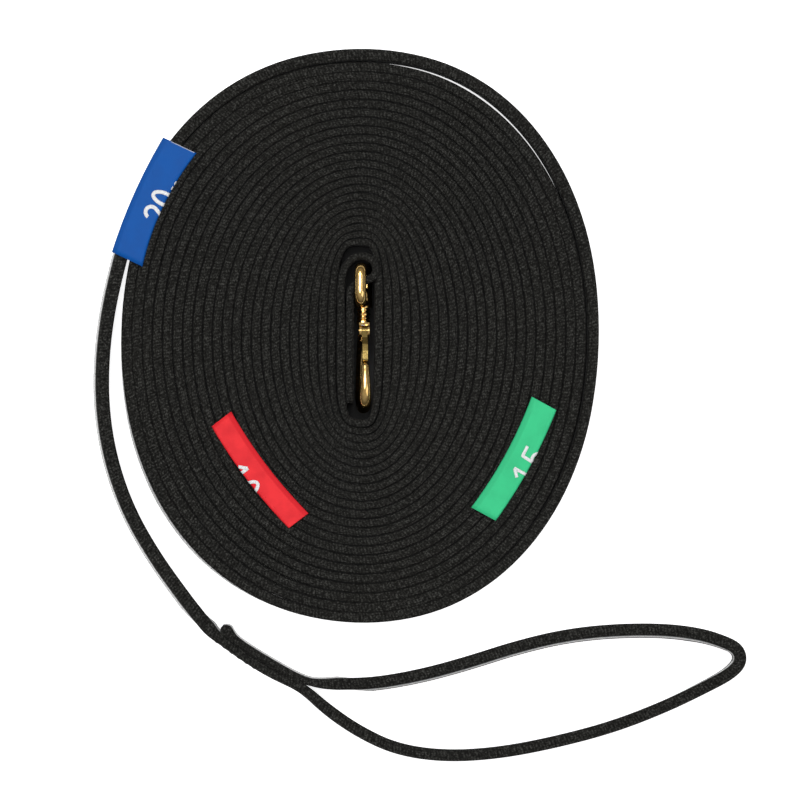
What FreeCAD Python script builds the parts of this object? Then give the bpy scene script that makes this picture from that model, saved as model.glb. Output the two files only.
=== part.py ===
"""Long training leash, wound on edge into a flat oval coil that lies on a table.

The webbing starts at a swivel trigger snap in the coil's centre slot, runs counterclockwise through
about 23 turns, leaves the coil at the upper left and ends in a sewn hand loop. Three folded marker
bands sit on it. Millimetres, +Z up, origin on the table under the coil's centre, +Y along the coil's
long axis and along the snap.
"""
import math
import os

import FreeCAD
import Part

V = FreeCAD.Vector

# Webbing
WEB_WIDTH = 16.0  # it stands on this edge, so it is also the coil's height
WEB_THICK = 4.2
SEWN_THICK = 3.0  # one layer where two are sewn together
RUN_SHARE = 0.45  # of the shorter run, taken by each arc of a route

# Coil: how far its outline and its centre slot reach from the origin, and how square they are
COIL_REACH = {"right": 88.8, "left": 89.8, "top": 107.2, "bottom": 107.0}
SLOT_REACH = {"right": 6.6, "left": 6.0, "top": 33.5, "bottom": 33.0}
COIL_SQUARE = 2.15
SLOT_SQUARE = 5.0
OUTLINE_POINTS = 48

# Routes of the webbing outside the coil, in plan
TAIL_ROUTE = [
    (-80.5, 48.5), (-88.1, 29.5), (-94.3, 10.5), (-97.5, -8.5), (-97.5, -27.5), (-94.5, -46.1),
    (-88.0, -64.5), (-78.4, -81.0), (-66.8, -96.4), (-55.0, -109.8), (-43.6, -120.6),
    (-33.0, -127.2), (-22.1, -131.6),
]
LOOP_ROUTE = [
    (-22.1, -131.6), (-12.9, -140.0), (-1.0, -148.2), (13.0, -154.8), (31.0, -157.4), (51.0, -156.2),
    (72.0, -152.2), (94.0, -146.4), (114.0, -138.6), (131.0, -130.3), (138.2, -126.4), (142.2, -122.2),
    (141.2, -117.2), (135.5, -114.2), (126.0, -111.2), (112.0, -109.6), (93.0, -109.9), (75.0, -112.0),
    (57.0, -116.4), (40.0, -121.9), (23.0, -126.6), (6.0, -129.7), (-8.0, -130.6), (-19.9, -128.2),
]
SPLICE_ROUTE = [(-19.9, -128.2), (-31.0, -123.7), (-41.0, -117.3), (-49.0, -110.2)]
SPLICE_END_RADIUS = 3.1  # the cut end, turned under

# Snap: its long axis lies along Y, with the eye towards +Y
AXIS_X = 0.5
AXIS_Z = 12.3
EYE_ROLL = -6.0  # degrees about the long axis, away from upright
HOOK_ROLL = 6.0
EYE_WIRE = 3.6
EYE_WIRE_ACROSS = 4.3  # the cast bar is wider than it is thick
EYE_INSIDE = 16.6  # between the side bars
EYE_END_Y = 25.5  # centre of the bar that the webbing goes round
EYE_NECK_Y = 12.2
EYE_END_CORNER = 2.7
EYE_NECK_CORNER = 4.4
BOSS_RADIUS = 3.3
BOSS_Y = (10.55, 14.2)
POST_RADIUS = 1.6
POST_CLEARANCE = 0.05
POST_START_Y = 6.6
HEAD_RADIUS = 3.0
HEAD_GAP = 0.15
HEAD_RIM = 1.4
HEAD_HEIGHT = 4.0
HOOK_CENTRE = (-18.8, -0.3)  # along Y, and above the long axis
HOOK_RADIUS = 8.2  # of the bent bar's centreline
HOOK_BACK = [(5.0, 0.0), (1.6, -0.9), (-2.4, -4.4), (-8.4, -7.2), (-13.6, -8.3)]  # centreline, (y, rise)
BOW_ANGLES = [270, 240, 210, 180, 150, 120, 93]
BAR_SECTIONS = 26
BAR_HALF_WIDTH = [(0.0, 1.9), (0.3, 1.9), (0.6, 2.3), (0.8, 2.3), (1.0, 1.5)]  # by share of its length
BAR_HALF_HEIGHT = [(0.0, 2.3), (0.12, 2.9), (0.3, 2.3), (0.6, 2.1), (0.85, 1.9), (1.0, 1.5)]
NOSE_BALL = 1.5
NOSE_Y = -11.5
NOSE_RISE = 7.2
BODY_HALF = 1.9  # half the body's thickness
LUG_RADIUS = 2.4
PIVOT_Y = 2.0
PIVOT_RISE = 2.5  # of the lever's pin above the long axis
PIN_RADIUS = 0.8
PIN_CLEARANCE = 0.05
LEVER_HALF = 1.0
LEVER_GAP = 0.15  # each side, between the lever and the lugs
HUB_RADIUS = 1.9
LEVER_TIP = (-8.6, 6.2)
TIP_RADIUS = 1.3
SPRING_HALF = 0.7
SPRING_THICK = 0.35

# The end of the webbing, round the eye's end bar and sewn to itself
EYE_LOOP_THICK = 2.8
EYE_LOOP_ROUTE = [
    (-4.5, 13.0), (-4.3, 18.0), (0.2, 20.6), (5.0, 21.9), (5.4, 27.4), (1.2, 30.2), (-3.6, 29.4),
    (-7.2, 24.6),
]
EYE_LOOP_Z = 4.3
SEWN_END_X = (-6.0, -3.2)
SEWN_END_Y = (-25.0, 12.9)
SEWN_END_Z = 2.0

# Marker bands: the ends of each band's middle line in plan, its width and how far it bows
MARKERS = {
    "marker_10": {"start": (-52.3, -31.3), "end": (-23.6, -69.2), "width": 9.2, "bow": 1.5},
    "marker_15": {"start": (45.4, -66.6), "end": (68.1, -25.3), "width": 10.2, "bow": 1.5},
    "marker_20": {"start": (-68.1, 71.4), "end": (-87.7, 29.1), "width": 13.0, "bow": 2.0},
}
MARKER_THICK = 1.4  # two layers of the folded band

# Sewing thread
STITCH_PITCH = 3.4
STITCH_MARGIN = 0.14  # of the pitch, left free at each end of a stitch
THREAD = 0.6
THREAD_PROUD = 0.3
THREAD_CLEAR = 0.02  # a straight stitch's ends, off a curved face
STITCH_INSET = 2.6  # from the webbing's edges to the rows
SEWN_FROM = 9  # the point of the tail's route where the handle's rows begin
SNAP_ROWS_Y = (-8.0, 11.0)


def unit(v):
    return v * (1.0 / v.Length)


def turned(v, angle):
    """v turned in plan by an angle in radians."""
    c, s = math.cos(angle), math.sin(angle)
    return V(v.x * c - v.y * s, v.x * s + v.y * c, v.z)


def route_parts(points):
    """The straight runs and the tangent arcs of a route in plan, and the arcs' radii."""
    p = [V(x, y, 0) for x, y in points]
    parts, radii = [], []
    start = p[0]
    for before, corner, after in zip(p, p[1:], p[2:]):
        ahead, onward = unit(corner - before), unit(after - corner)
        turn = math.atan2(ahead.cross(onward).z, ahead.dot(onward))
        reach = RUN_SHARE * min((corner - before).Length, (after - corner).Length)
        radius = reach / math.tan(abs(turn) / 2)
        a, b = corner - ahead * reach, corner + onward * reach
        centre = a + turned(ahead, math.copysign(math.pi / 2, turn)) * radius
        parts.append(("run", start, a))
        parts.append(("arc", a, b, centre, turn))
        radii.append(radius)
        start = b
    parts.append(("run", start, p[-1]))
    return parts, radii


def side_edges(parts, offset):
    """One side of a band of webbing: the route, moved to its left by offset."""
    edges = []
    for part in parts:
        if part[0] == "run":
            _, a, b = part
            left = turned(unit(b - a), math.pi / 2) * offset
            edges.append(Part.LineSegment(a + left, b + left).toShape())
        else:
            _, a, b, centre, turn = part
            scale = 1 - offset * math.copysign(1, turn) / (a - centre).Length
            spoke = (a - centre) * scale
            middle = centre + turned(spoke, turn / 2)
            edges.append(Part.Arc(centre + spoke, middle, centre + turned(spoke, turn)).toShape())
    return edges


def band(points, thickness, bottom, height, name=None):
    """Webbing on edge along a route in plan."""
    parts, radii = route_parts(points)
    left = side_edges(parts, thickness / 2)
    right = side_edges(parts, -thickness / 2)
    first = Part.LineSegment(right[0].Vertexes[0].Point, left[0].Vertexes[0].Point).toShape()
    last = Part.LineSegment(left[-1].Vertexes[-1].Point, right[-1].Vertexes[-1].Point).toShape()
    outline = Part.Wire(Part.__sortEdges__([first] + left + [last] + right))
    solid = Part.Face(outline).extrude(V(0, 0, height))
    solid.translate(V(0, 0, bottom))
    if name:
        length = sum(
            (part[2] - part[1]).Length if part[0] == "run" else (part[1] - part[3]).Length * abs(part[4])
            for part in parts
        )
        print(name, "length %.1f," % length, "radii", ["%.0f" % r for r in radii])
        print("  volume over section times length: %.4f" % (solid.Volume / (thickness * height * length)))
    return solid


def oval(reach, square):
    """A closed outline in plan: four quarters of a superellipse, squarer as square rises over 2."""
    points = []
    for i in range(OUTLINE_POINTS):
        angle = 2 * math.pi * i / OUTLINE_POINTS
        c, s = math.cos(angle), math.sin(angle)
        across = math.copysign(abs(c) ** (2 / square), c)
        along = math.copysign(abs(s) ** (2 / square), s)
        x = across * reach["right" if across > 0 else "left"]
        y = along * reach["top" if along > 0 else "bottom"]
        points.append(V(x, y, 0))
    curve = Part.BSplineCurve()
    curve.interpolate(points, PeriodicFlag=True)
    return Part.Face(Part.Wire(curve.toShape()))


def webbing_coil():
    ring = oval(COIL_REACH, COIL_SQUARE).cut(oval(SLOT_REACH, SLOT_SQUARE))
    return ring.Faces[0].extrude(V(0, 0, WEB_WIDTH))


def rolled(shape, angle):
    """A piece of the snap, drawn upright on X = 0, turned about the long axis and put in its place."""
    shape = shape.copy()
    shape.translate(V(AXIS_X, 0, AXIS_Z))
    shape.rotate(V(AXIS_X, 0, AXIS_Z), V(0, 1, 0), angle)
    return shape


def rod(radius, y_low, y_high):
    return Part.makeCylinder(radius, y_high - y_low, V(0, y_low, 0), V(0, 1, 0))


def cross_rod(radius, half, y, z):
    return Part.makeCylinder(radius, 2 * half, V(-half, y, z), V(1, 0, 0))


def plate(outline, half):
    """A flat piece from its outline in the snap's plane, points as (y, rise)."""
    wire = Part.makePolygon([V(-half, y, z) for y, z in outline + outline[:1]])
    return Part.Face(wire).extrude(V(2 * half, 0, 0))


def rounded_frame(y_low, y_high, half_height, low_corner, high_corner):
    """The centreline of the eye's wire: a rectangle in the snap's plane with rounded corners."""
    corners = [
        (y_high, half_height, high_corner), (y_low, half_height, low_corner),
        (y_low, -half_height, low_corner), (y_high, -half_height, high_corner),
    ]
    p = [V(0, y, z) for y, z, _ in corners]
    edges, ends = [], []
    for i, (_, _, r) in enumerate(corners):
        back, onward = unit(p[i - 1] - p[i]), unit(p[(i + 1) % 4] - p[i])
        a, b = p[i] + back * r, p[i] + onward * r
        middle = p[i] + (back + onward) * (r * (1 - math.sqrt(0.5)))
        edges.append(Part.Arc(a, middle, b).toShape())
        ends.append((a, b))
    for i in range(4):
        edges.append(Part.LineSegment(ends[i][1], ends[(i + 1) % 4][0]).toShape())
    return Part.Wire(Part.__sortEdges__(edges))


def swivel_eye():
    half_height = (EYE_INSIDE + EYE_WIRE) / 2
    path = rounded_frame(EYE_NECK_Y, EYE_END_Y, half_height, EYE_NECK_CORNER, EYE_END_CORNER)
    start = V(0, EYE_END_Y, 0)
    section = bar_section(start, V(0, 0, 1), EYE_WIRE_ACROSS / 2, EYE_WIRE / 2)
    path = Part.Wire(Part.__sortEdges__(split_end_bar(path)))
    ring = path.makePipeShell([section], True, True)
    eye = ring.fuse(rod(BOSS_RADIUS, *BOSS_Y)).removeSplitter()
    return rolled(eye.cut(rod(POST_RADIUS + POST_CLEARANCE, BOSS_Y[0] - 1, BOSS_Y[1] + 1)), EYE_ROLL)


def split_end_bar(wire):
    """The frame's edges, with the end bar cut in two at its middle, where the section is drawn."""
    edges = []
    for edge in wire.Edges:
        a, b = edge.Vertexes[0].Point, edge.Vertexes[-1].Point
        on_end_bar = abs(a.y - EYE_END_Y) < 1e-6 and abs(b.y - EYE_END_Y) < 1e-6
        if on_end_bar:
            middle = V(0, EYE_END_Y, 0)
            edges.append(Part.LineSegment(a, middle).toShape())
            edges.append(Part.LineSegment(middle, b).toShape())
        else:
            edges.append(edge)
    return edges


def swivel_post():
    """The pin that the eye turns on, with its end peened to a dome inside the eye."""
    rim = BOSS_Y[1] + HEAD_GAP
    head = rod(HEAD_RADIUS, rim, rim + HEAD_RIM)
    rise = HEAD_HEIGHT - HEAD_RIM
    dome_radius = (HEAD_RADIUS**2 + rise**2) / (2 * rise)
    ball = Part.makeSphere(dome_radius, V(0, rim + HEAD_HEIGHT - dome_radius, 0))
    dome = ball.common(rod(HEAD_RADIUS, rim + HEAD_RIM, rim + HEAD_HEIGHT + 1))
    post = rod(POST_RADIUS, POST_START_Y, rim).fuse([head, dome]).removeSplitter()
    return rolled(post, HOOK_ROLL)


def bar_section(at, ahead, half_width, half_height):
    """One cross-section of the hook's bar: an ellipse at a point, square to the direction ahead."""
    m = FreeCAD.Matrix(
        half_width, 0, 0, 0,
        0, half_height * ahead.z, ahead.y, at.y,
        0, -half_height * ahead.y, ahead.z, at.z,
        0, 0, 0, 1,
    )
    return Part.Wire(Part.makeCircle(1.0).transformGeometry(m).Edges)


def between(stations, share):
    """The value at a share of the way along, from a list of (share, value) in order."""
    for (a, low), (b, high) in zip(stations, stations[1:]):
        if share <= b:
            return low + (high - low) * (share - a) / (b - a)
    return stations[-1][1]


def hook_bar():
    """The tapered bar from the collar down the back, round the bow and up to the nose."""
    cy, cz = HOOK_CENTRE
    line = [V(0, y, z) for y, z in HOOK_BACK]
    for degrees in BOW_ANGLES:
        a = math.radians(degrees)
        line.append(V(0, cy + HOOK_RADIUS * math.cos(a), cz + HOOK_RADIUS * math.sin(a)))
    line.append(V(0, NOSE_Y, NOSE_RISE))
    curve = Part.BSplineCurve()
    curve.interpolate(line)
    sections = []
    for i in range(BAR_SECTIONS):
        share = i / (BAR_SECTIONS - 1)
        t = curve.parameterAtDistance(share * curve.length())
        section = bar_section(curve.value(t), unit(curve.tangent(t)[0]), between(BAR_HALF_WIDTH, share),
                              between(BAR_HALF_HEIGHT, share))
        sections.append(section)
    return Part.makeLoft(sections, True, False)


def collar():
    """The turned neck: a rim, two beads and a barrel, as one revolved outline."""
    profile = [
        (0.0, 10.2), (2.5, 10.2), (2.5, 9.5), (1.9, 9.2), (1.9, 8.9), (2.5, 8.6), (2.6, 8.2), (2.5, 7.8),
        (1.9, 7.5), (1.9, 7.3), (2.35, 7.0), (2.45, 6.7), (2.35, 6.4), (1.95, 6.1), (2.45, 5.7), (2.55, 4.4),
        (0.0, 4.4),
    ]
    wire = Part.makePolygon([V(r, y, 0) for r, y in profile + profile[:1]])
    return Part.Face(wire).revolve(V(0, 0, 0), V(0, 1, 0), 360)


def snap_body():
    lugs = plate([(5.0, -1.5), (5.0, 3.6), (PIVOT_Y, PIVOT_RISE + 2.0), (-1.6, 1.2), (-2.6, -3.0)], BODY_HALF)
    lugs = lugs.fuse(cross_rod(LUG_RADIUS, BODY_HALF, PIVOT_Y, PIVOT_RISE))
    nose = Part.makeSphere(NOSE_BALL, V(0, NOSE_Y, NOSE_RISE))
    body = collar().fuse([lugs, hook_bar(), nose])
    slot_half = LEVER_HALF + LEVER_GAP
    slot = Part.makeBox(2 * slot_half, 10.6, 12.0, V(-slot_half, -6.2, -0.3))
    body = body.cut(slot)
    body = body.cut(rod(POST_RADIUS, POST_START_Y, 11.0))
    body = body.cut(cross_rod(PIN_RADIUS, BODY_HALF + 1, PIVOT_Y, PIVOT_RISE))
    return rolled(body.removeSplitter(), HOOK_ROLL)


def trigger_lever():
    """The sprung gate: a hub on the pin, an arm with a thumb rise, and a rounded tip at the nose."""
    tip_y, tip_z = LEVER_TIP
    arm = plate(
        [
            (PIVOT_Y + 1.2, PIVOT_RISE + 1.4), (-0.5, 5.2), (-3.0, 6.9), (-5.6, 7.5),
            (tip_y, tip_z + TIP_RADIUS), (tip_y, tip_z - TIP_RADIUS), (-5.0, 4.5), (PIVOT_Y - 1.0, PIVOT_RISE - 1.5),
        ],
        LEVER_HALF,
    )
    hub = cross_rod(HUB_RADIUS, LEVER_HALF, PIVOT_Y, PIVOT_RISE)
    tip = cross_rod(TIP_RADIUS, LEVER_HALF, tip_y, tip_z)
    lever = arm.fuse([hub, tip]).removeSplitter()
    lever = lever.cut(cross_rod(PIN_RADIUS + PIN_CLEARANCE, LEVER_HALF + 1, PIVOT_Y, PIVOT_RISE))
    return rolled(lever, HOOK_ROLL)


def lever_pin():
    return rolled(cross_rod(PIN_RADIUS, BODY_HALF + 0.05, PIVOT_Y, PIVOT_RISE), HOOK_ROLL)


def lever_spring():
    """A bent leaf between the floor of the body's slot and the lever's underside."""
    low = -0.3
    outline = [
        (4.2, low), (4.2, low + SPRING_THICK), (-0.2, low + SPRING_THICK), (-3.6, 3.6), (-3.9, 3.35), (-0.4, low),
    ]
    return rolled(plate(outline, SPRING_HALF), HOOK_ROLL)


def marker(start, end, width, bow):
    """A folded band lying on the turns, curved with them."""
    a, b = V(*start, WEB_WIDTH), V(*end, WEB_WIDTH)
    across = unit(turned(b - a, -math.pi / 2))
    if across.dot(a) < 0:
        across = across * -1
    middle = (a + b) * 0.5
    half_chord = (b - a).Length / 2
    radius = (half_chord**2 + bow**2) / (2 * bow)
    centre = middle - across * (radius - bow)
    edges = []
    for r in (radius + width / 2, radius - width / 2):
        points = [centre + unit(p - centre) * r for p in (a, middle + across * bow, b)]
        edges.append(Part.Arc(*points).toShape())
    outer, inner = edges
    for i in (0, -1):
        edges.append(Part.LineSegment(outer.Vertexes[i].Point, inner.Vertexes[i].Point).toShape())
    return Part.Face(Part.Wire(Part.__sortEdges__(edges))).extrude(V(0, 0, MARKER_THICK))


def stitch(a, b, z):
    """One stitch from a to b in plan at height z, standing proud to the left of the way from a to b."""
    outward = unit(turned(b - a, math.pi / 2))
    low, high = outward * THREAD_CLEAR + V(0, 0, z - THREAD / 2), outward * THREAD_PROUD + V(0, 0, z - THREAD / 2)
    face = Part.Face(Part.makePolygon([a + low, b + low, b + high, a + high, a + low]))
    return face.extrude(V(0, 0, THREAD))


def stitch_rows(edges, side, rows):
    """Rows of stitches along edges in plan, given in order. The face looks left if side is 1, right if -1."""
    points = Part.Wire(Part.__sortEdges__(edges)).discretize(Distance=STITCH_PITCH)
    first = edges[0].valueAt(edges[0].FirstParameter)
    runs_on = (points[0] - first).Length < (points[-1] - first).Length
    if runs_on != (side > 0):
        points.reverse()
    made = []
    for a, b in zip(points[:-1], points[1:]):
        margin = (b - a) * STITCH_MARGIN
        made += [stitch(a + margin, b - margin, z) for z in rows]
    return made


def handle_stitching():
    """Rows on both outer faces of the handle's doubled stretch."""
    rows = (STITCH_INSET, WEB_WIDTH - STITCH_INSET)
    made = []
    for route, thickness in ((TAIL_ROUTE[SEWN_FROM:], WEB_THICK), (SPLICE_ROUTE, SEWN_THICK)):
        parts, _ = route_parts(route)
        made += stitch_rows(side_edges(parts, -thickness / 2), -1, rows)
    return Part.makeCompound(made)


def snap_end_stitching():
    """Rows on the doubled stretch beside the snap, on the face towards it."""
    x = SEWN_END_X[1]
    edge = Part.LineSegment(V(x, SNAP_ROWS_Y[0], 0), V(x, SNAP_ROWS_Y[1], 0)).toShape()
    rows = (SEWN_END_Z + STITCH_INSET, SEWN_END_Z + WEB_WIDTH - STITCH_INSET)
    return Part.makeCompound(stitch_rows([edge], -1, rows))


def main():
    coil = webbing_coil()
    tail = band(TAIL_ROUTE, WEB_THICK, 0, WEB_WIDTH, "webbing_tail").cut(coil)
    loop = band(LOOP_ROUTE, WEB_THICK, 0, WEB_WIDTH, "hand_loop").cut(tail)
    end = Part.makeCylinder(SPLICE_END_RADIUS, WEB_WIDTH, V(*SPLICE_ROUTE[-1], 0))
    splice = band(SPLICE_ROUTE, SEWN_THICK, 0, WEB_WIDTH, "handle_splice").fuse(end).cut(tail).cut(loop)
    eye_loop = band(EYE_LOOP_ROUTE, EYE_LOOP_THICK, EYE_LOOP_Z, WEB_WIDTH, "snap_end_loop").cut(coil)
    sewn_end = Part.makeBox(
        SEWN_END_X[1] - SEWN_END_X[0], SEWN_END_Y[1] - SEWN_END_Y[0], WEB_WIDTH,
        V(SEWN_END_X[0], SEWN_END_Y[0], SEWN_END_Z),
    ).cut(coil)
    nodes = {
        "webbing_coil": coil,
        "webbing_tail": tail,
        "hand_loop": loop,
        "handle_splice": splice.removeSplitter(),
        "handle_stitching": handle_stitching(),
        "snap_end_loop": eye_loop,
        "snap_end_splice": sewn_end,
        "snap_end_stitching": snap_end_stitching(),
        "swivel_eye": swivel_eye(),
        "swivel_post": swivel_post(),
        "snap_body": snap_body(),
        "trigger_lever": trigger_lever(),
        "lever_pin": lever_pin(),
        "lever_spring": lever_spring(),
    }
    for name, values in MARKERS.items():
        nodes[name] = marker(**values)
    os.makedirs("parts", exist_ok=True)
    for name, shape in nodes.items():
        box = shape.BoundBox
        print("%-20s" % name, "solids", len(shape.Solids), "valid", shape.isValid(), "volume %.1f" % shape.Volume,
              "z %.2f to %.2f" % (box.ZMin, box.ZMax))
        shape.exportStep("parts/%s.step" % name)


main()
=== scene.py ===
"""Looks of the long training leash: one strip of woven webbing wound on edge, its thread, its three folded
marker bands and its brass snap. Lengths in the tables below are millimetres; MM turns them into metres."""
import math

import bpy
import numpy as np
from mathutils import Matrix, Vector


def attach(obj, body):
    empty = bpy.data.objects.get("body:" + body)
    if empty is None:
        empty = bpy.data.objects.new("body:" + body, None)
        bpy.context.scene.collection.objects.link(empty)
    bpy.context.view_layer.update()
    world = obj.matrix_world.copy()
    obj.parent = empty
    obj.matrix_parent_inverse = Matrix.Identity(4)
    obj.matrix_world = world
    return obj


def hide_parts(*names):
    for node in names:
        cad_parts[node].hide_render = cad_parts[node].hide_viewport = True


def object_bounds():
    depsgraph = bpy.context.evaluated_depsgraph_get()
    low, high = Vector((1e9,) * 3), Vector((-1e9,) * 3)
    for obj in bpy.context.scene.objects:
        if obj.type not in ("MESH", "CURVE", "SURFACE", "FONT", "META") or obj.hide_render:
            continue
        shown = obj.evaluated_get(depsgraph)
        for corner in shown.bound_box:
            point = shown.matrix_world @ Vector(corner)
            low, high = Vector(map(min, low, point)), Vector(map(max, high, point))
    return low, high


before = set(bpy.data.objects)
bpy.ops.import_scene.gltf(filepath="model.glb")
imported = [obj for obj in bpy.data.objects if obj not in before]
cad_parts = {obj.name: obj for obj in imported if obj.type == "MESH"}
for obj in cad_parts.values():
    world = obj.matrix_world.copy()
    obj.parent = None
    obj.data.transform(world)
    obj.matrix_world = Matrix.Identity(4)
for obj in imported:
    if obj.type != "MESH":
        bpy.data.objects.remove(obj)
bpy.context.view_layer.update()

MM = 0.001
FINE = 6  # points of the line between two control points of the webbing's route

# Webbing
WIDTH = 16.0  # it stands on this edge
SEWN_THICK = 2.8
FIRST_THICK = 3.0
TAIL_THICK = 5.1
LOOP_THICK = 4.5
DOUBLED_THICK = 3.5  # where the handle's other end is sewn to it
SPLICE_THICK = 3.0
SPLICE_END_THICK = 4.6  # the cut end, turned under
TURN_FILL = 0.97  # share of the room between neighbouring turns that the webbing takes
CROWN = 1.5  # how far the rounding of its edges reaches down its faces
CROWN_SQUARE = 3.0
CROWN_STEPS = 9
CROWN_ARC = 2.6  # how long the rounding is from the middle of an edge to a face
SHOULDER = (0.8, 0.98)  # shares of half its thickness between which the upper edge turns dark with painted shade
END_KNOB = (2.6, 2.4)  # how far from its end the splice is thickest, and how long that swelling is
END_ROUND = 2.0
END_BLUNT = 0.15  # share of the thickness that is left at the very end
FUSED = 5.0  # length of the melted end at the snap
FUSED_ROUGH = 0.42
UNEVEN = 0.12  # the turns rise and fall this much
UNEVEN_WAVES = (5.1, 1.7)  # radians in a turn of the two waves in which they do

# Coil: for each side, how many turns after the start it comes, how far its first and last strands' centre
# lines reach there, and how much closer together the first turns lie than the last
POINTS_PER_TURN = 24
FIRST_TURN_ANGLE = math.pi
LAST_TURN = 22.96
FULL_TURNS = 22
REACH = {
    "left": (0.0, 7.8, 88.0, 0.05),
    "bottom": (0.25, 32.6, 105.4, 0.12),
    "right": (0.5, 6.3, 85.8, 0.05),
    "top": (0.75, 35.1, 104.1, 0.12),
}
SQUARE = 2.0
SQUARE_OUTSIDE = 0.15
SQUARE_AT_SLOT = 2.3

# Routes in plan, as in the part's source, except that the tail, the hand loop's last two points and the
# splice follow the photo a little more closely
SEWN_END = [(-4.6, -25.0), (-4.7, -14.0), (-4.6, -2.0), (-4.6, 7.0)]
EYE_LOOP = [
    (-4.5, 13.0), (-4.3, 18.0), (0.2, 20.6), (5.0, 21.9), (5.4, 27.4), (1.2, 30.2), (-3.6, 29.4),
    (-7.2, 24.6),
]
FIRST_STRAND = [(-7.9, 17.0), (-7.8, 8.5)]
TAIL = [
    (-90.4, 28.5), (-94.6, 11.0), (-97.0, -7.5), (-97.1, -27.0), (-94.0, -46.2), (-87.6, -64.8),
    (-77.9, -82.0), (-66.5, -97.8), (-58.0, -108.8), (-54.2, -112.9), (-43.6, -120.6), (-33.0, -127.1),
]
LOOP = [
    (-22.1, -131.6), (-12.9, -140.0), (-1.0, -148.2), (13.0, -154.8), (31.0, -157.4), (51.0, -156.2),
    (72.0, -152.2), (94.0, -146.4), (114.0, -138.6), (131.0, -130.3), (138.2, -126.4), (142.2, -122.2),
    (141.2, -117.2), (135.5, -114.2), (126.0, -111.2), (112.0, -109.6), (93.0, -109.9), (75.0, -112.0),
    (57.0, -116.4), (40.0, -121.9), (23.0, -126.6), (6.0, -129.7), (-8.0, -130.4), (-17.6, -130.3),
]
SPLICE = [
    (-24.4, -128.0), (-33.0, -123.1), (-41.0, -118.3), (-46.6, -114.6), (-50.2, -111.2), (-51.5, -109.4),
    (-52.0, -108.4),
]
SEWN_LIFT = 2.0  # how far the sewn end stands above the floor
EYE_LIFT = 4.3  # how far the loop round the snap's eye does
FIRST_LIFT = 0.8  # share of the eye's lift that the first strand still has
START_LIFT = 0.7  # share of it at the coil's start
SETTLE_TURNS = 0.9  # turns in which the coil loses it

# How the last strands lie, each as (turn, amount): how far they stand off the coil's shape, how much
# thicker they are, and how far they lean
STAND_OFF = (
    (22.3, 0), (22.45, 0.9), (22.56, 1.0), (22.6, 1.1), (22.66, 1.6), (22.74, 1.3), (22.79, 0.9),
    (22.95, 0.2),
)
LAST_THICKER = ((20.6, 0), (20.9, 0.24), (22.3, 0.24), (22.5, 0.3), (22.65, 0.8), (22.8, 0.8), (22.95, 0.3))
LAST_ROLL = ((22.3, 0), (22.42, -1.5), (22.56, -1.5), (22.6, 0))

# Lean: how far the lower edge stands out from under the upper one, to the right of the way along the route
RIM_LEAN = 2.1  # at the coil's lower left
RIM_TURN = 21.96  # where it starts
RIM_TURNS = 0.33  # how long it lasts
RIM_FADE = 0.88  # each turn inside it leans this share of the next one's
SLOT_LEAN = -0.3  # at the coil's start
SLOT_TURNS = 1.6  # turns until it is gone
TAIL_LEAN = 2.0
TAIL_SEWN = 3  # the tail's last points, where it stands upright in the splice
LOOP_LEAN = ((0, 0), (1, 1.0), (9, 1.0), (12, -0.2), (15, -1.9), (22, -1.9), (23, 0))  # (point, lean)
LOOP_THICKER = ((0, DOUBLED_THICK), (2, LOOP_THICK))  # (point, thickness)

# Where the webbing's faces are bare, and how tightly the turns lie between their neighbours, as (turn, share)
FIRST_BARE = 21.9  # from this turn on the outer face is bare
# how tightly they lie sets how much painted shade their seams get
PACKED = ((-0.6, 0), (0.0, 1), (21.8, 1), (22.4, 0.6), (23.0, 0))

# Weave and colours of the webbing
PICK = 1.2
RIB = 1.3
SLANT = 0.5
STRAY = 2.0
FIBRE_SHARE = 1.055
KNOT_SHARE = 0.15
BLACK_LOW = (0.0015, 0.0015, 0.0014)
BLACK_MID = (0.0125, 0.0125, 0.0115)
BLACK_HIGH = (0.068, 0.068, 0.063)
# painted shade: the colour of the seams where packed turns meet
SEAM_PAINTED_SHADE = (0.0012, 0.0012, 0.0011)
BLACK_BROWN = (0.004, 0.003, 0.0015)
# bare faces get a paler black: a painted sheen, on top of the real sheen set below
FACE_PAINTED_SHEEN_LOW = (0.008, 0.008, 0.008)
FACE_PAINTED_SHEEN_HIGH = (0.09, 0.09, 0.088)
FACE_NAP = 1.0  # the sheen of the faces' short fibres, seen along them
EDGE_NAP = 0.04
FACE_FROM = (2.6, 5.5)  # the sheen, and the paler colour that paints more of it, come in over this stretch down a face
FACE_TO = (10.5, 12.5)  # and goes over this one on the inner face

# Stitches
STITCH_START = 1.0
STITCH_PITCH = 3.4
STITCH_LENGTH = 2.7
STITCH_BOW = 0.02
STITCH_DIP = 0.35
STITCH_RADIUS = 0.22
STITCH_ROWS = (2.6, 13.4)
STITCH_RINGS = 7
STITCH_SIDES = 6

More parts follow.
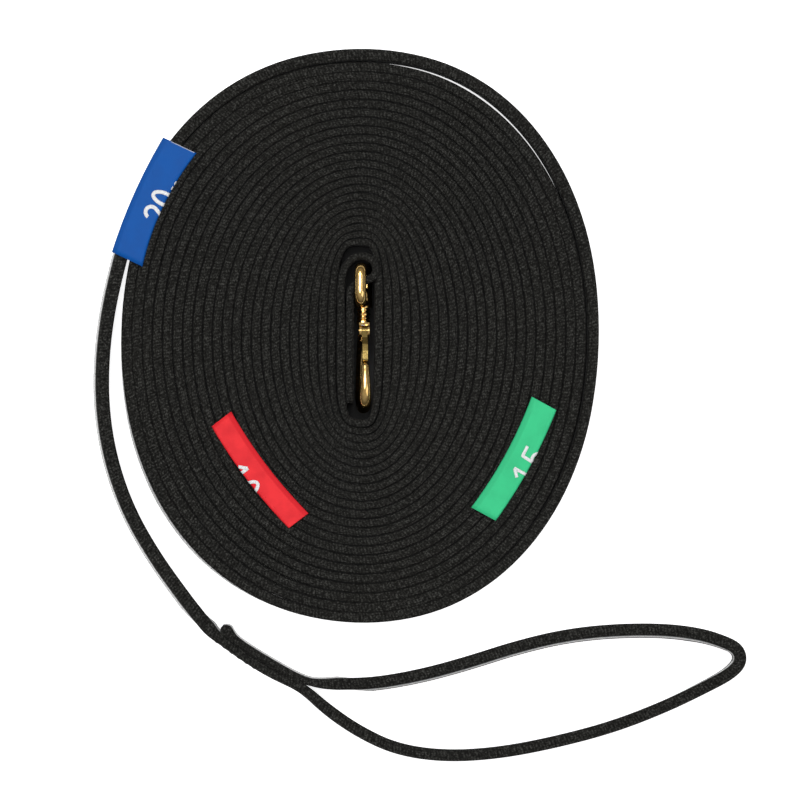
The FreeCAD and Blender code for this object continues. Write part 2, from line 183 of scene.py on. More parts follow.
# Marker bands: the ends of each bend in plan, the flap's width at its start, middle and end, how far the
# bend bows and which way, how much of the figures shows above the bend, their stroke, the figures, ticks
# at the bend, and the colours
BAND_TOP = 17.2
BAND_THICK = 0.5
BEND = 0.9
HANG = 5.5
FACET = 2.0  # the flap's last stretch, which slopes down to its edge
FACET_FALL = 0.28
FACET_DARK = 1.8  # how much of it has the darker colour, a painted shade
INK_LIFT = 0.05  # half as much again for each stroke after the first
INK_THICK = 0.08
FIGURE_TALL = 10.5
CUT_EDGE = 0.4
CUT_SHARE = 0.75  # how far across the flap the cut edge looks pale
CUT_SHOWN = "20"  # the band that shows it
BAND_STEPS = 24
FLAP_STEPS = 16
BEND_STEPS = 5
HANG_STEPS = 3
BANDS = {
    "10": (((-56.3, -33.9), (-27.4, -72.0)), (9.3, 9.2, 9.3), 1.5, -1, 3.0, 1.3,
           (("1", 17.2), ("0", 24.4)), (), (0.98, 0.036, 0.045), (0.78, 0.02, 0.03)),
    "15": (((50.1, -69.2), (72.8, -27.8)), (10.5, 10.3, 10.6), 1.5, -1, 5.0, 1.2,
           (("1", 17.1), ("5", 24.9)), (), (0.052, 0.67, 0.29), (0.042, 0.58, 0.25)),
    "20": (((-82.1, 25.9), (-61.9, 68.3)), (12.7, 11.9, 13.8), 2.7, 1, 6.0, 1.45,
           (("2", 16.9), ("0", 23.5)), (31.3, 33.5), (0.005, 0.103, 0.43), (0.004, 0.088, 0.38)),
}

# Snap
SOFT_EDGE = 0.25
SOFT_ANGLE = 35  # edges sharper than this are softened, in degrees

# Camera: what it looks down at, and in metres how far above that it is and how wide it sees
CAMERA_AT = (14.25, -24.0, 12.0)
CAMERA_ABOVE = 2.0
FRAME_WIDE = 0.3
SENSOR = 36

# Floor, in metres: painted shade in an oval under the coil, glowing paper beyond it, both by (offset / reach)
# squared
FLOOR_REACH = 3.0
FLOOR_GAP = 0.0002
FLOOR_GLOW = 0.8
# painted shade: the floor's colour in the oval under the coil
PAINTED_SHADE_UNDER_COIL = (0.05, 0.05, 0.05)
SHADE_OVAL_CENTRE = (-0.0025, -0.0035)
SHADE_OVAL_REACH = (0.090, 0.107)
SHADE_OVAL_EDGE = (0.15, 0.5)
GLOW_EDGE = (0.87, 0.92)


def read(table, at):
    """The value at a place, from a table of (place, value) in order."""
    return float(np.interp(at, *zip(*table)))


def along(reach, turn):
    """How far a strand's centre line reaches on one side, a number of turns after the start."""
    phase, low, high, closer = reach
    share = (turn - phase) / FULL_TURNS
    return low + (high - low) * (share - closer * share * (1 - share))


def window(share):
    """A smooth rise and fall over 0 to 1."""
    return math.sin(math.pi * share) ** 2 if 0 < share < 1 else 0.0


def coil_point(turn):
    """Where the webbing's centre line is in plan, a number of turns after the left of the slot."""
    angle = FIRST_TURN_ANGLE + 2 * math.pi * turn
    share = turn / LAST_TURN
    square = SQUARE + SQUARE_OUTSIDE * share**6 + SQUARE_AT_SLOT * (1 - share) ** 12
    c, s = math.cos(angle), math.sin(angle)
    across = math.copysign(abs(c) ** (2 / square), c)
    up = math.copysign(abs(s) ** (2 / square), s)
    x = across * along(REACH["right" if across > 0 else "left"], turn)
    y = up * along(REACH["top" if up > 0 else "bottom"], turn)
    return Vector((x, y, 0)) / math.cos(math.pi / POINTS_PER_TURN)


def room_between_turns(turn):
    """How far the next turn's centre line is from this one's, square to it."""
    here, on = coil_point(turn), coil_point(turn + 0.01)
    ahead = (on - here).normalized()
    outer = coil_point(turn + 1) - here if turn < LAST_TURN - 1 else here - coil_point(turn - 1)
    return abs(outer.cross(ahead).z)


def rim_lean(turn):
    """The coil's last strand leans out at the lower left, and the strands inside it less and less."""
    inside = max(0, math.ceil(RIM_TURN - turn))
    return RIM_LEAN * RIM_FADE**inside * window((turn + inside - RIM_TURN) / RIM_TURNS)


def coil_strand(turn):
    """The coil's control point a number of turns after its start, with its thickness and its lean."""
    p = coil_point(turn)
    p += p.normalized() * read(STAND_OFF, turn)
    lift = EYE_LIFT * START_LIFT * max(0.0, 1 - turn / SETTLE_TURNS)
    fast, slow = UNEVEN_WAVES
    uneven = UNEVEN * (1 + math.sin(turn * fast) * math.sin(turn * slow + 1))
    thick = room_between_turns(turn) * TURN_FILL + read(LAST_THICKER, turn)
    lean = rim_lean(turn) + SLOT_LEAN * max(0.0, 1 - turn / SLOT_TURNS) + read(LAST_ROLL, turn)
    return p.x, p.y, WIDTH / 2 + lift + uneven, thick, lean


def route():
    """The webbing's control points in millimetres, each with its thickness and its lean there."""
    middle = WIDTH / 2
    points = [(x, y, middle + SEWN_LIFT, SEWN_THICK, 0) for x, y in SEWN_END]
    points += [(x, y, middle + EYE_LIFT, SEWN_THICK, 0) for x, y in EYE_LOOP]
    points += [(x, y, middle + EYE_LIFT * FIRST_LIFT, FIRST_THICK, 0) for x, y in FIRST_STRAND]
    points += [coil_strand(i / POINTS_PER_TURN) for i in range(math.ceil(LAST_TURN * POINTS_PER_TURN))]
    for to_end, (x, y) in zip(range(len(TAIL), 0, -1), TAIL):
        thick = DOUBLED_THICK if to_end < TAIL_SEWN else TAIL_THICK
        points.append((x, y, middle, thick, 0 if to_end <= TAIL_SEWN else TAIL_LEAN))
    points += [(x, y, middle, read(LOOP_THICKER, i), read(LOOP_LEAN, i)) for i, (x, y) in enumerate(LOOP)]
    points += [(x, y, middle, SPLICE_THICK, 0) for x, y in SPLICE]
    return points


def centre_line(points):
    """A smooth spline with the route's points as its control points, and the points read from it."""
    curve = bpy.data.curves.new("route", "CURVE")
    curve.dimensions = "3D"
    spline = curve.splines.new("NURBS")
    spline.points.add(len(points) - 1)
    for target, (x, y, z, *_) in zip(spline.points, points):
        target.co = (x * MM, y * MM, z * MM, 1)
    spline.order_u = 3
    spline.use_endpoint_u = True
    spline.resolution_u = FINE
    holder = bpy.data.objects.new("route", curve)
    bpy.context.scene.collection.objects.link(holder)
    mesh = bpy.data.meshes.new_from_object(holder)
    line = np.array([v.co for v in mesh.vertices]) / MM
    bpy.data.objects.remove(holder)
    bpy.data.meshes.remove(mesh)
    return line


def made(name, points, faces, body, material, attributes=(), smooth=True):
    """A mesh object from points in millimetres, riding on a body."""
    mesh = bpy.data.meshes.new(name)
    mesh.from_pydata([tuple(p * MM for p in q) for q in points], [], faces)
    for label, kind, values in attributes:
        layer = mesh.attributes.new(label, kind, "POINT")
        layer.data.foreach_set("vector" if kind == "FLOAT_VECTOR" else "value", np.ravel(values))
    mesh.polygons.foreach_set("use_smooth", [smooth] * len(mesh.polygons))
    mesh.materials.append(material)
    obj = bpy.data.objects.new(name, mesh)
    bpy.context.scene.collection.objects.link(obj)
    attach(obj, body)
    return obj


# Shaders


class Shader:
    """A material, with short ways to add and join its nodes."""

    def __init__(self, name, **settings):
        self.material = bpy.data.materials.new(name)
        self.material.use_nodes = True
        self.tree = self.material.node_tree
        self.surface = self.tree.nodes["Principled BSDF"]
        for label, value in settings.items():
            self.surface.inputs[label.replace("_", " ")].default_value = value

    def node(self, kind, *inputs, **settings):
        made_node = self.tree.nodes.new(kind)
        for key, value in settings.items():
            setattr(made_node, key, value)
        for socket, value in zip(made_node.inputs, inputs):
            self.join(socket, value)
        return made_node

    def join(self, socket, value):
        if isinstance(value, bpy.types.NodeSocket):
            self.tree.links.new(value, socket)
        elif value is not None:
            socket.default_value = value

    def math(self, operation, a, b=None, c=None):
        return self.node("ShaderNodeMath", a, b, c, operation=operation).outputs[0]

    def wave(self, value, period, phase=0.0):
        """A smooth wave from 0 to 1."""
        turned = self.math("MULTIPLY_ADD", value, 2 * math.pi / period, phase)
        return self.math("MULTIPLY_ADD", self.math("SINE", turned), 0.5, 0.5)

    def noise(self, vector, scale, detail=2.0, roughness=0.5):
        n = self.node("ShaderNodeTexNoise")
        self.join(n.inputs["Vector"], vector)
        self.join(n.inputs["Scale"], scale)
        self.join(n.inputs["Detail"], detail)
        self.join(n.inputs["Roughness"], roughness)
        return n.outputs["Fac"]

    def ramp(self, value, stops):
        n = self.node("ShaderNodeValToRGB", value)
        band = n.color_ramp
        while len(band.elements) < len(stops):
            band.elements.new(0.5)
        for element, (place, colour) in zip(band.elements, stops):
            element.position = place
            element.color = (*colour, 1)
        return n.outputs["Color"]

    def mix(self, share, a, b, blend="MIX"):
        n = self.node("ShaderNodeMix", data_type="RGBA", blend_type=blend)
        self.join(n.inputs["Factor"], share)
        self.join(n.inputs["A"], a if isinstance(a, bpy.types.NodeSocket) else (*a, 1))
        self.join(n.inputs["B"], b if isinstance(b, bpy.types.NodeSocket) else (*b, 1))
        return n.outputs["Result"]

    def attribute(self, name):
        return self.node("ShaderNodeAttribute", attribute_name=name).outputs

    def place(self):
        return self.node("ShaderNodeTexCoord").outputs["Object"]

    def bump(self, height, distance, strength=1.0):
        n = self.node("ShaderNodeBump")
        self.join(n.inputs["Height"], height)
        self.join(n.inputs["Distance"], distance)
        self.join(n.inputs["Strength"], strength)
        self.tree.links.new(n.outputs["Normal"], self.surface.inputs["Normal"])

    def colour(self, value):
        self.join(self.surface.inputs["Base Color"], value)

    def rough(self, value, low, high):
        n = self.node("ShaderNodeMapRange", value)
        n.inputs["To Min"].default_value = low
        n.inputs["To Max"].default_value = high
        self.join(self.surface.inputs["Roughness"], n.outputs["Result"])


def webbing_material():
    """Black webbing: picks and ribs lost in coarse fibres, painted shade at seams, part-painted sheen on bare
    faces.
    """
    s = Shader("webbing_black", Roughness=0.8, Sheen_Roughness=0.4, Specular_IOR_Level=0.12)
    strap = s.attribute("strap")["Vector"]
    parts = s.node("ShaderNodeSeparateXYZ", strap).outputs
    stray = s.math("MULTIPLY", s.noise(strap, 0.7, 3.0), STRAY)
    length, down, side = s.math("ADD", parts[0], stray), s.math("ADD", parts[1], stray), parts[2]
    pick = s.wave(s.math("MULTIPLY_ADD", side, SLANT, length), PICK)
    rib = s.wave(down, RIB, 1.2)
    knot = s.math("MULTIPLY", pick, s.math("MULTIPLY_ADD", rib, 0.6, 0.4))
    fibre = s.noise(strap, 1.15, 3.0, 0.75)
    height = s.math("MULTIPLY_ADD", knot, KNOT_SHARE, s.math("MULTIPLY", fibre, FIBRE_SHARE))
    shown = s.node("ShaderNodeMapRange", parts[1], *FACE_FROM).outputs["Result"]
    inner = s.math("GREATER_THAN", side, 0.0)
    under = s.math("MULTIPLY", inner, s.node("ShaderNodeMapRange", parts[1], *FACE_TO).outputs["Result"])
    stretch = s.math("MULTIPLY", shown, s.math("SUBTRACT", 1.0, under))
    face = s.math("MULTIPLY", s.attribute("bare")["Fac"], stretch)
    broad = s.noise(s.place(), 34.0, 3.0)
    dark = s.ramp(height, [(0.4, BLACK_LOW), (0.6, BLACK_MID), (0.8, BLACK_HIGH)])
    tinted = s.mix(s.math("MULTIPLY", broad, 0.5), dark, BLACK_BROWN, "SCREEN")
    # on bare faces a paler black, a painted sheen
    painted_sheen_colour = s.ramp(height, [(0.3, FACE_PAINTED_SHEEN_LOW), (0.7, FACE_PAINTED_SHEEN_HIGH)])
    # painted shade at the seams between packed turns
    shaded = s.mix(s.math("POWER", s.attribute("seam_shade")["Fac"], 1.5), tinted, SEAM_PAINTED_SHADE)
    s.colour(s.mix(face, shaded, painted_sheen_colour))
    s.join(s.surface.inputs["Sheen Weight"], s.math("MULTIPLY_ADD", face, FACE_NAP, EDGE_NAP))
    s.rough(fibre, 0.7, 0.95)
    s.bump(height, 0.00035, 0.8)
    return s.material


def thread_material():
    s = Shader("thread_black", Roughness=0.6, Sheen_Weight=0.1)
    twist = s.noise(s.place(), 2400.0)
    s.colour(s.ramp(twist, [(0.3, (0.006, 0.006, 0.006)), (0.7, (0.03, 0.03, 0.028))]))
    s.bump(twist, 0.0001)
    return s.material


def band_material(name, colour, shade):
    """Thin coated tape, faintly woven and rubbed, with painted shade along its flap's sloping edge."""
    s = Shader(name, Roughness=0.55, Specular_IOR_Level=0.12)
    flat = s.node("ShaderNodeSeparateXYZ", s.attribute("tape")["Vector"]).outputs
    weave = s.math("MULTIPLY", s.wave(flat[0], 0.42), s.wave(flat[1], 0.36))
    soil = s.noise(s.place(), 160.0, 4.0)
    base = s.ramp(soil, [(0.25, shade), (0.62, colour)])
    # painted shade on the facet that slopes down at the flap's edge
    facet_shaded = s.mix(s.attribute("facet_shade")["Fac"], base, shade)
    s.colour(s.mix(s.attribute("cut")["Fac"], facet_shaded, (0.75, 0.76, 0.8)))
    s.rough(soil, 0.42, 0.58)
    s.bump(s.math("MULTIPLY_ADD", soil, 0.6, weave), 0.00005, 0.5)
    return s.material


def ink_material():
    s = Shader("numeral_white", Roughness=0.5)
    grain = s.noise(s.place(), 1500.0, 3.0)
    s.colour(s.ramp(grain, [(0.3, (0.74, 0.75, 0.76)), (0.6, (0.92, 0.93, 0.94))]))
    s.bump(grain, 0.00003)
    return s.material


def metal_material(name, low, high, smooth, dull):
    """Plated metal with faint polishing marks and a little tarnish."""
    s = Shader(name, Metallic=1.0)
    tarnish = s.noise(s.place(), 220.0, 4.0, 0.6)
    s.colour(s.ramp(tarnish, [(0.32, low), (0.6, high)]))
    s.rough(s.noise(s.place(), 700.0, 3.0), smooth, dull)
    s.bump(s.noise(s.place(), 420.0, 2.0), 0.00008, 0.35)
    return s.material


# Webbing


def to_the_left(line):
    """The level direction to the left of the way along a line, at each of its points."""
    ahead = np.gradient(line, axis=0)
    left = np.stack([-ahead[:, 1], ahead[:, 0], np.zeros(len(line))], axis=1)
    return left / np.linalg.norm(left, axis=1)[:, None]


def run_along(line):
    """How far along a line each of its points is."""
    return np.concatenate([[0], np.cumsum(np.linalg.norm(np.diff(line, axis=0), axis=1))])


def webbing_section():
    """The section's outline, as (share of half the thickness, height), and how far down the faces each is."""
    angles = [math.pi * i / (CROWN_STEPS - 1) for i in range(CROWN_STEPS)]
    bow = []
    for a in angles:
        across = math.copysign(abs(math.cos(a)) ** (2 / CROWN_SQUARE), math.cos(a))
        bow.append((across, math.sin(a) ** (2 / CROWN_SQUARE)))
    outline = [(across, WIDTH / 2 - CROWN + CROWN * up) for across, up in bow]
    outline += [(-across, -WIDTH / 2 + CROWN - CROWN * up) for across, up in bow]
    top = [CROWN_ARC * abs(across) for across, _ in bow]
    return outline, top + [WIDTH - 2 * CROWN + 2 * CROWN_ARC - down for down in top]


def end_growth(to_end):
    """The share of its thickness that the webbing has near the splice's end, which is knobbed and rounded."""
    peak, spread = END_KNOB
    grow = 1 + (SPLICE_END_THICK / SPLICE_THICK - 1) * math.exp(-((to_end - peak) / spread) ** 2)
    if to_end < END_ROUND:
        rounding = math.sqrt(max(0.0, 1 - (1 - to_end / END_ROUND) ** 2))
        grow *= rounding * (1 - END_BLUNT) + END_BLUNT
    return grow


def seam_shade_share(across, down):
    """How far the painted seam shade covers a place: the upper edge only at its shoulders, the rest wholly.
    """
    if down >= WIDTH / 2:
        return 1.0
    start, full = SHOULDER
    return min(1.0, max(0.0, (abs(across) - start) / (full - start)))


def sweep_webbing():
    """The strip of webbing, its section a slab with crowned edges, along the line read from the route."""
    left = to_the_left(LINE)
    run = run_along(LINE)
    middle = LINE - left * LEAN[:, None] / 2  # the upper edge keeps to the line, the lower one stands out
    outline, down = webbing_section()
    rng = np.random.default_rng(5)
    points, strap, bare, seam_shade = [], [], [], []
    for k in range(len(LINE)):
        half = THICK[k] / 2 * end_growth(run[-1] - run[k])
        melt = max(0.0, 1 - run[k] / FUSED)
        for j, (across, up) in enumerate(outline):
            p = middle[k] + left[k] * (across * half + LEAN[k] * up / WIDTH) + np.array([0, 0, up])
            if melt:
                p = p + rng.normal(0, FUSED_ROUGH * melt, 3)
            points.append(p)
            strap.append((run[k], down[j], across))
            # painted shade at the seams, where packed turns meet
            seam_shade.append(TIGHT[k] * seam_shade_share(across, down[j]))
            on_face = abs(across) > 0.5 and down[j] > CROWN_ARC - 0.1
            bare.append((BARE_IN[k] if across >= 0 else BARE_OUT[k]) if on_face else 0.0)
    count = len(outline)
    faces = []
    for a in range(0, len(points) - count, count):
        b = a + count
        faces += [(a + j, a + (j + 1) % count, b + (j + 1) % count, b + j) for j in range(count)]
    faces.append(tuple(reversed(range(count))))
    faces.append(tuple(range(len(points) - count, len(points))))
    kinds = [("strap", "FLOAT_VECTOR", strap), ("bare", "FLOAT", bare), ("seam_shade", "FLOAT", seam_shade)]
    obj = made("webbing", points, faces, "leash", webbing_material(), kinds)
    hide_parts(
        "webbing_coil", "webbing_tail", "hand_loop", "handle_splice", "snap_end_loop", "snap_end_splice",
    )
    return obj, middle


# Thread


def stitch(points, faces, a, b, out):
    """One stitch from a to b: a thin tube that dips into the webbing at both ends."""
    first = len(points)
    chord = (b - a) / np.linalg.norm(b - a)
    other = np.cross(chord, out)
    for i in range(STITCH_RINGS):
        t = i / (STITCH_RINGS - 1)
        rise = math.sin(math.pi * t)
        middle = a + (b - a) * t + out * (STITCH_BOW * rise - STITCH_DIP * (1 - rise))
        for j in range(STITCH_SIDES):
            angle = 2 * math.pi * j / STITCH_SIDES
            points.append(middle + STITCH_RADIUS * (out * math.cos(angle) + other * math.sin(angle)))
    for i in range(STITCH_RINGS - 1):
        for j in range(STITCH_SIDES):
            k = (j + 1) % STITCH_SIDES
            r, n = first + i * STITCH_SIDES, first + (i + 1) * STITCH_SIDES
            faces.append((r + j, r + k, n + k, n + j))
    faces.append(tuple(first + j for j in reversed(range(STITCH_SIDES))))
    faces.append(tuple(len(points) - STITCH_SIDES + j for j in range(STITCH_SIDES)))


def stitched(name, rows, material, node):
    """A piece of thread: rows are (line points, outward directions, height) with a stitch every pitch."""
    points, faces = [], []
    for line, outward, z in rows:
        run = run_along(line)
        at = STITCH_START
        while at + STITCH_PITCH < run[-1]:
            ends = [(np.interp(q, run, line[:, 0]), np.interp(q, run, line[:, 1]), z)
                    for q in (at, at + STITCH_LENGTH)]
            a, b = np.array(ends)
            out = np.array([np.interp(at, run, outward[:, c]) for c in range(3)])
            stitch(points, faces, a, b, out / np.linalg.norm(out))
            at += STITCH_PITCH
    obj = made(name, points, faces, "leash", material)
    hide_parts(node)
    return obj


def side_of(first, last, side):
    """The face of the webbing between two places on its line: its points and the way it faces."""
    line = LINE[first:last]
    left = to_the_left(line)
    return line + left * side * THICK[first:last, None] / 2, left * side


# Markers


class Band:
    """A marker band: a flap that lies on the webbing along a bend, and hangs down beyond it."""

    def __init__(self, start, end, widths, bow, bend_bulges):
        self.start = Vector((*start, 0))
        along_it = Vector((*end, 0)) - self.start
        self.length = along_it.length
        self.ahead = along_it.normalized()
        self.across = Vector((-self.ahead.y, self.ahead.x, 0))
        self.widths, self.bow, self.bend_bulges = widths, bow, bend_bulges

    def width(self, s):
        start, middle, end = self.widths
        share = s / self.length
        return start + (end - start) * share + (2 * middle - start - end) * 2 * share * (1 - share)

    def surface(self, s, a, lift=0.0):
        """The band's outside, s along the bend and a up to it and over it, flat where a is above 0."""
        share = s / self.length
        bulge = 4 * self.bow * share * (1 - share) * self.bend_bulges
        flap = self.width(s) - BEND
        if a >= 0:
            out, z, face = BEND + a, BAND_TOP, 0.0
            fall = max(0.0, a - (flap - FACET))
            z -= fall * FACET_FALL
        elif a > -BEND * math.pi / 2:
            face = -a / BEND
            out, z = BEND * (1 - math.sin(face)), BAND_TOP - BEND * (1 - math.cos(face))
        else:
            face = math.pi / 2
            out, z = 0.0, BAND_TOP - BEND + a + BEND * math.pi / 2
        p = self.start + self.ahead * s + self.across * (out + bulge)
        p += self.across * (-math.sin(face) * lift)
        return Vector((p.x, p.y, z + math.cos(face) * lift))


def band_piece(name, band, material, node, pale_end):
    """The band's tape, folded over the webbing: its flap, the bend, and what hangs down beyond it."""
    points, tape, facet_shade, cut, faces = [], [], [], [], []
    stops = [band.length * i / BAND_STEPS for i in range(BAND_STEPS)] + [band.length - CUT_EDGE, band.length]
    for s in stops:
        flap = band.width(s) - BEND
        places = [flap * j / FLAP_STEPS for j in range(FLAP_STEPS, -1, -1)]
        places += [-BEND * math.pi / 2 * j / BEND_STEPS for j in range(1, BEND_STEPS + 1)]
        places += [-BEND * math.pi / 2 - HANG * j / HANG_STEPS for j in range(1, HANG_STEPS + 1)]
        for a in places:
            points.append(band.surface(s, a))
            tape.append((s, a, 0))
            cut.append(1.0 if pale_end and s == band.length and 0 <= a < CUT_SHARE * flap else 0.0)
            # painted shade on the sloping facet at the flap's far edge
            facet_shade.append(1.0 if a > flap - FACET_DARK else 0.0)
    row = len(points) // len(stops)
    for a in range(0, len(points) - row, row):
        faces += [(a + j, a + j + 1, a + row + j + 1, a + row + j) for j in range(row - 1)]
    kinds = [("tape", "FLOAT_VECTOR", tape), ("facet_shade", "FLOAT", facet_shade), ("cut", "FLOAT", cut)]
    obj = made(name, points, faces, "leash", material, kinds)
    thick = obj.modifiers.new("thickness", "SOLIDIFY")
    thick.thickness = BAND_THICK * MM
    thick.offset = -1
    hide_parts(node)
    return obj


def oval(centre, reach, start=0.0, sweep=360.0, steps=28):
    angles = [math.radians(start + sweep * i / steps) for i in range(steps + 1)]
    return [(centre[0] + reach[0] * math.cos(a), centre[1] + reach[1] * math.sin(a)) for a in angles]


def numeral(figure, stroke):
    """A figure's strokes in a box 5.7 wide and FIGURE_TALL tall, its left bottom corner at 0, 0."""
    h = stroke / 2
    top = FIGURE_TALL - h
    if figure == "0":
        return [oval((2.85, FIGURE_TALL / 2), (2.85 - h, FIGURE_TALL / 2 - h))]
    if figure == "1":
        return [[(3.5, 0.0), (3.5, FIGURE_TALL)], [(3.5, 10.3), (0.9, 7.8)]]
    if figure == "2":
        bow = oval((2.85, 7.5), (2.85 - h, 3.0 - h), 165, -205)
        return [bow + [(3.2, 3.2), (0.8, h)], [(0.6, h), (5.6, h)]]
    bowl = oval((2.7, 3.6), (2.9 - h, 3.4 - h), 120, -280)
    return [[(5.3, top), (1.2, top), (0.9, 5.4)], [(0.9, 5.6)] + bowl]


def finely(stroke, step=0.5):
    """The stroke with points close together, so that it bends with the band."""
    line = [Vector(p) for p in stroke]
    fine = []
    for a, b in zip(line, line[1:]):
        parts = max(1, math.ceil((b - a).length / step))
        fine += [a + (b - a) * i / parts for i in range(parts)]
    return fine + [line[-1]]


def numerals_piece(name, band, figures, top, stroke, material, ticks=()):
    """Figures printed over the bend: each is (figure, where its left side is along the band)."""
    points, faces = [], []
    bend = FIGURE_TALL - top  # how far up the figures the bend is
    strokes = [[Vector((x + u, v)) for u, v in finely(part)]
               for figure, x in figures for part in numeral(figure, stroke)]
    strokes += [[Vector((x, bend - 0.2)), Vector((x, bend + 0.4))] for x in ticks]
    for n, part in enumerate(strokes):
        first = len(points)
        for i, p in enumerate(part):
            ahead = (part[min(i + 1, len(part) - 1)] - part[max(i - 1, 0)]).normalized()
            across = Vector((-ahead.y, ahead.x)) * stroke / 2
            for side in (across, across / 3, -across / 3, -across):
                q = p + side
                points.append(band.surface(q.x, q.y - bend - BEND, INK_LIFT * (1 + n / 2)))
        for i in range(len(part) - 1):
            r = first + 4 * i
            faces += [(r + j, r + j + 4, r + j + 5, r + j + 1) for j in range(3)]
    obj = made(name, points, faces, "leash", material)
    thick = obj.modifiers.new("thickness", "SOLIDIFY")
    thick.thickness = INK_THICK * MM
    thick.offset = 0
    return obj


# The pieces

ROUTE = route()
FIRST_COIL = len(SEWN_END + EYE_LOOP + FIRST_STRAND)
FIRST_SPLICE = len(ROUTE) - len(SPLICE)
FIRST_LOOP = FIRST_SPLICE - len(LOOP)
FIRST_TAIL = FIRST_LOOP - len(TAIL)
TURNS = [(i - FIRST_COIL) / POINTS_PER_TURN for i in range(len(ROUTE))]  # at each control point

LINE = centre_line(ROUTE)
KNOTS = [0] + [i - 0.5 for i in range(1, len(ROUTE) - 1)] + [len(ROUTE) - 2]


def over_line(values):
    """The values of the control points, read at every point of the line."""
    return np.interp([k / FINE for k in range(len(LINE))], KNOTS, values)


THICK = over_line([p[3] for p in ROUTE])
LEAN = over_line([p[4] for p in ROUTE])
BARE_OUT = over_line([1.0 if turn > FIRST_BARE else 0.0 for turn in TURNS])
BARE_IN = over_line([1.0 if i >= FIRST_TAIL else 0.0 for i in range(len(ROUTE))])
# how much painted shade the seams get, by how tightly the turns lie
TIGHT = over_line([read(PACKED, turn) if i < FIRST_TAIL else 0.0 for i, turn in enumerate(TURNS)])
webbing, webbing_middle = sweep_webbing()

thread = thread_material()
splice_line, splice_out = side_of(FIRST_SPLICE * FINE, len(LINE) - 2 * FINE // 3, 1)
tail_line, tail_out = side_of((FIRST_LOOP - TAIL_SEWN) * FINE, (FIRST_LOOP - 1) * FINE, -1)
rows = [(splice_line, splice_out, z) for z in STITCH_ROWS] + [(tail_line, tail_out, z) for z in STITCH_ROWS]
handle_thread = stitched("handle_thread", rows, thread, "handle_stitching")
sewn_line, sewn_out = side_of(0, len(SEWN_END) * FINE, -1)
rows = [(sewn_line, sewn_out, z + SEWN_LIFT) for z in STITCH_ROWS]
snap_thread = stitched("snap_thread", rows, thread, "snap_end_stitching")

ink = ink_material()
for number, (corners, widths, bow, bulges, top, stroke, figures, ticks, colour, shade) in BANDS.items():
    band = Band(*corners, widths, bow, bulges)
    tape = band_material("tape_" + number, colour, shade)
    pale_end = number == CUT_SHOWN
    band_piece("band_" + number, band, tape, "marker_" + number, pale_end)
    numerals_piece("numerals_" + number, band, figures, top, stroke, ink, ticks)

gold = metal_material("snap_brass", (0.62, 0.36, 0.10), (0.90, 0.62, 0.25), 0.07, 0.15)
# the lever's brass is painted darker: a painted dark reflection on its flat top
lever_dark_reflection = metal_material("lever_brass_dark_reflection", (0.30, 0.20, 0.06), (0.50, 0.36, 0.12), 0.12, 0.24)
steel = metal_material("spring_steel", (0.32, 0.32, 0.33), (0.55, 0.55, 0.56), 0.2, 0.35)
for node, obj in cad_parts.items():
    if obj.hide_render:
        continue
    obj.data.materials.clear()
    obj.data.materials.append({"lever_spring": steel, "trigger_lever": lever_dark_reflection}.get(node, gold))
    soften = obj.modifiers.new("edges", "BEVEL")
    soften.width = SOFT_EDGE * MM
    soften.segments = 2
    soften.limit_method = "ANGLE"
    soften.angle_limit = math.radians(SOFT_ANGLE)
    soften.harden_normals = True

# Camera, floor and light

low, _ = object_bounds()
middle = Vector(CAMERA_AT) * MM
camera = bpy.data.objects.new("camera", bpy.data.cameras.new("camera"))
camera.data.sensor_width = SENSOR
camera.data.lens = SENSOR * CAMERA_ABOVE / FRAME_WIDE
camera.data.clip_end = 20
camera.location = middle + Vector((0, 0, CAMERA_ABOVE))
bpy.context.scene.collection.objects.link(camera)
bpy.context.scene.camera = camera


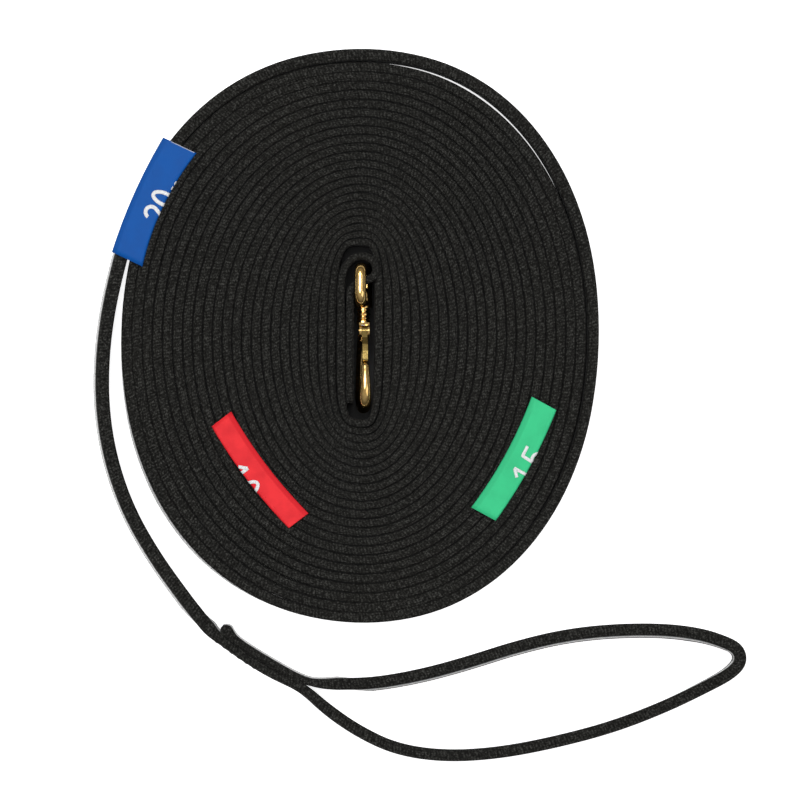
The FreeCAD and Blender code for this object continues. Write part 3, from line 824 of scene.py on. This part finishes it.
def floor():
    """Pale paper that glows a little, with an oval of painted shade hidden under the coil."""
    s = Shader("floor_paper", Roughness=0.9, Specular_IOR_Level=0.1)
    grain = s.noise(s.place(), 60.0, 3.0)
    paper = s.ramp(grain, [(0.3, (0.9, 0.9, 0.9)), (0.7, (0.92, 0.92, 0.92))])
    at = s.node("ShaderNodeSeparateXYZ", s.place()).outputs
    shares = []
    for place, centre, reach in zip(at, SHADE_OVAL_CENTRE, SHADE_OVAL_REACH):
        share = s.math("DIVIDE", s.math("SUBTRACT", place, centre), reach)
        shares.append(s.math("POWER", share, 2.0))
    out = s.math("ADD", *shares)
    glow = s.node("ShaderNodeMapRange", out)
    for label, value in zip(("From Min", "From Max", "To Min", "To Max"), (*GLOW_EDGE, 0.0, FLOOR_GLOW)):
        glow.inputs[label].default_value = value
    dark_to, pale_from = SHADE_OVAL_EDGE
    # painted shade: the floor turns dark in the oval under the coil, where the slot and seams show it
    s.colour(s.mix(s.ramp(out, [(dark_to, (0, 0, 0)), (pale_from, (1, 1, 1))]), PAINTED_SHADE_UNDER_COIL, paper))
    s.join(s.surface.inputs["Emission Color"], (1, 1, 1, 1))
    s.join(s.surface.inputs["Emission Strength"], glow.outputs["Result"])
    mesh = bpy.data.meshes.new("floor")
    r = FLOOR_REACH
    mesh.from_pydata([(-r, -r, 0), (r, -r, 0), (r, r, 0), (-r, r, 0)], [], [(0, 1, 2, 3)])
    mesh.materials.append(s.material)
    obj = bpy.data.objects.new("floor", mesh)
    obj.location.z = min(low[2], 0) - FLOOR_GAP
    bpy.context.scene.collection.objects.link(obj)


def light(name, size, power, place, towards):
    data = bpy.data.lights.new(name, "AREA")
    data.shape = "SQUARE"
    data.size = size
    data.energy = power
    obj = bpy.data.objects.new(name, data)
    obj.location = place
    obj.rotation_euler = (Vector(towards) - Vector(place)).to_track_quat("-Z", "Y").to_euler()
    bpy.context.scene.collection.objects.link(obj)


floor()
light("key", 1.5, 36.0, (-0.35, 0.4, 2.4), middle)
light("fill", 1.2, 5.0, (1.2, -0.6, 1.6), middle)
world = bpy.data.worlds.new("world")
world.use_nodes = True
sky = world.node_tree
height = sky.nodes.new("ShaderNodeSeparateXYZ")
sky.links.new(sky.nodes.new("ShaderNodeTexCoord").outputs["Generated"], height.inputs[0])
grey = sky.nodes.new("ShaderNodeValToRGB")
grey.color_ramp.elements[0].position = 0.25
grey.color_ramp.elements[0].color = (0.10, 0.10, 0.10, 1)
grey.color_ramp.elements[1].position = 0.85
grey.color_ramp.elements[1].color = (0.42, 0.42, 0.42, 1)
sky.links.new(height.outputs["Z"], grey.inputs[0])
sky.links.new(grey.outputs[0], sky.nodes["Background"].inputs["Color"])
bpy.context.scene.world = world
bpy.context.scene.view_settings.view_transform = "Standard"
